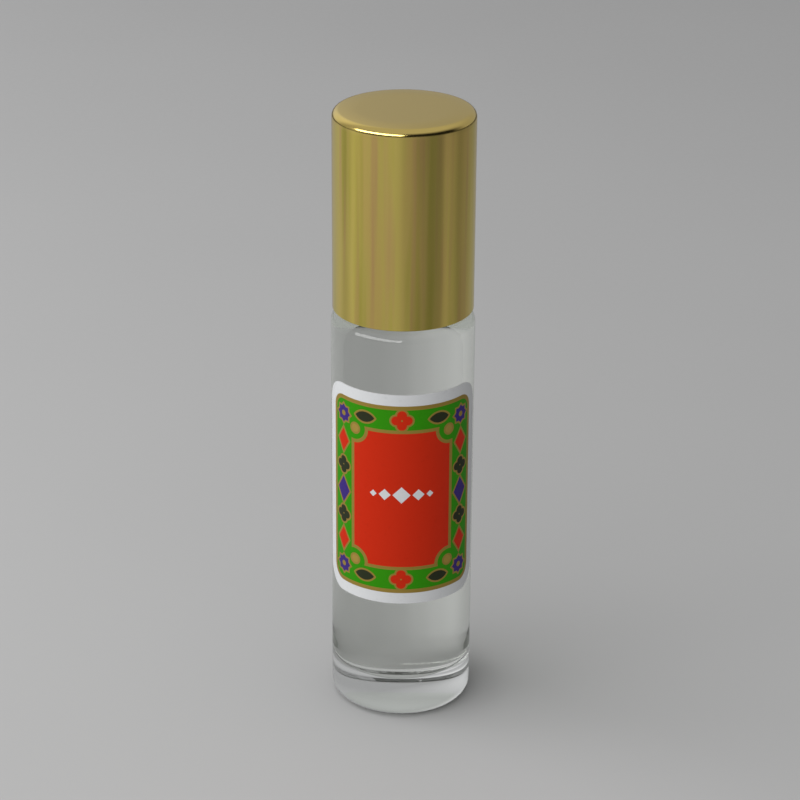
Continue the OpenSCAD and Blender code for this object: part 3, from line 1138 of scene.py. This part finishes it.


# Plain and pale, and far off the camera sees the backdrop's colour in it. For metal and for glass it carries
# painted room light, which follows the room's light and shade round the bottle, out from under it, and for
# metal a painted falloff darkens it far off.
def floorMaterial():
    graph = material("paleFloor")
    cloud = graph.noise(graph.place(), *studio["cloudPattern"])
    grain = graph.noise(graph.place(), *studio["grainPattern"])
    x, y, z = graph.parts(graph.place())
    distance = graph.span(x, y)
    close = studio["nearR"] / distance
    turn = graph.between(graph.maths("ARCTAN2", x * (1 + close * close), 0 - y), -math.pi, math.pi)
    seen = graph.blend(graph.between(cloud, *studio["cloudStep"]), studio["floorTone"], studio["cloudTone"])
    away = graph.between(distance, studio["roomStart"], studio["roomFull"])
    # Painted falloff: the floor that metal mirrors is painted darker far off.
    paintedFalloff = graph.between(distance, studio["duskStart"], studio["duskFull"], 1.0, studio["duskTone"])
    # Painted room light, given to the floor for mirrored and refracted rays.
    paintedRoomLight = {}
    for name in ("mirroredRoomLight", "roomLightThroughGlass"):
        stops = [(degrees / 360 + 0.5, value * studio["roomTone"]) for degrees, value in studio[name]]
        paintedRoomLight[name] = graph.node("ValToRGB", {"stops": stops}, {0: turn})
    paintedRoomLightDimmed = graph.blend(1.0, paintedRoomLight["mirroredRoomLight"], paintedFalloff, "MULTIPLY")
    seen = graph.blend(graph.ray("Is Glossy Ray") * away, seen, paintedRoomLightDimmed)
    seen = graph.blend(graph.ray("Is Singular Ray") * away, seen, paintedRoomLight["roomLightThroughGlass"])
    matt = graph.node("BsdfDiffuse", {}, {"Color": seen})
    least, most = studio["floorRoughLeast"], studio["floorRoughMost"]
    satin = graph.node("BsdfPrincipled", {}, {
        "Base Color": seen,
        "Roughness": graph.between(grain, *studio["grainStep"], least, most),
        "IOR": studio["floorIndex"],
    })
    near = graph.mixShader(graph.ray("Is Glossy Ray"), satin, matt)
    far = graph.between(distance, studio["farStart"], studio["farFull"]) * graph.ray("Is Camera Ray")
    backdrop = graph.node("Emission", {}, {"Color": colour(studio["worldTone"])})
    return graph.finish(graph.mixShader(far, near, backdrop))


# The camera and glass see one pale colour. What metal and glass mirror is darker than that, most so low
# down on the camera's side. It is paler overhead, and palest towards the back left, as beside a window. The
# rest is lit by a plain white light.
def makeWorld():
    graph = Graph(bpy.data.worlds.new("studio"))
    toward = graph.node("TexCoord", {}, {}, "Generated")
    glossy = graph.ray("Is Glossy Ray")
    seen = graph.larger(glossy, graph.ray("Is Camera Ray"))
    seen = graph.larger(seen, graph.ray("Is Transmission Ray"))
    share = {}
    for side in ("dark", "pale"):
        sockets = {0: toward, 1: Vector(studio[side + "Toward"]).normalized()}
        facing = graph.node("VectorMath", {"operation": "DOT_PRODUCT"}, sockets, "Value")
        there = graph.between(facing, studio[side + "Start"], studio[side + "Full"])
        share[side] = there * studio[side + "Share"]
    up = graph.parts(toward)[2]
    low = graph.between(up, studio["darkLow"], studio["darkHigh"], 1.0, 0.0)
    dark = share["dark"] * low * (1 - graph.ray("Is Singular Ray") * studio["darkLostInGlass"])
    ceiling = graph.between(up, studio["ceilingLow"], studio["ceilingHigh"]) * studio["ceilingShare"]
    light = graph.node("Background", {}, {"Color": (1, 1, 1, 1), "Strength": studio["worldLight"]})
    shown = graph.node("Background", {}, {
        "Color": colour(studio["worldTone"]),
        "Strength": 1 + glossy * (share["pale"] + ceiling - dark - studio["mirrorLoss"]),
    })
    bpy.context.scene.world = graph.finish(graph.mixShader(seen, light, shown), "OutputWorld")


# Soft boxes that point at the bottle's middle. One that has no glints lights matt surfaces alone.
def makeLamps():
    target = Vector(studio["aim"])
    for name, box in studio["lamps"].items():
        lamp = bpy.data.lights.new(name, "AREA")
        lamp.shape = "RECTANGLE"
        lamp.size, lamp.size_y = box["size"]
        lamp.energy = box["power"]
        made = bpy.data.objects.new(name, lamp)
        made.visible_glossy = box["glints"]
        bpy.context.scene.collection.objects.link(made)
        place = Vector(box["place"])
        facing = (place - target).to_track_quat("Z", "Y").to_matrix().to_4x4()
        made.matrix_world = Matrix.Translation(place) @ facing


camera = {
    "place": (-0.0003435, -0.33879, 0.1927),
    "pitchDown": 23.499,
    "roll": 0.36,
    "lens": 118.61,
    "sensor": 36,
    "clipNear": 0.01,
    "clipFar": 20,
}


def makeCamera():
    data = bpy.data.cameras.new("view")
    data.sensor_width = camera["sensor"]
    data.lens = camera["lens"]
    data.clip_start, data.clip_end = camera["clipNear"], camera["clipFar"]
    made = bpy.data.objects.new("view", data)
    bpy.context.scene.collection.objects.link(made)
    tilt = Matrix.Rotation(math.radians(90 - camera["pitchDown"]), 4, "X")
    roll = Matrix.Rotation(math.radians(camera["roll"]), 4, "Z")
    made.matrix_world = Matrix.Translation(camera["place"]) @ tilt @ roll
    bpy.context.scene.camera = made


makeFloor()
makeWorld()
makeLamps()
makeCamera()
bpy.context.scene.view_settings.view_transform = "Standard"
print("stage done")
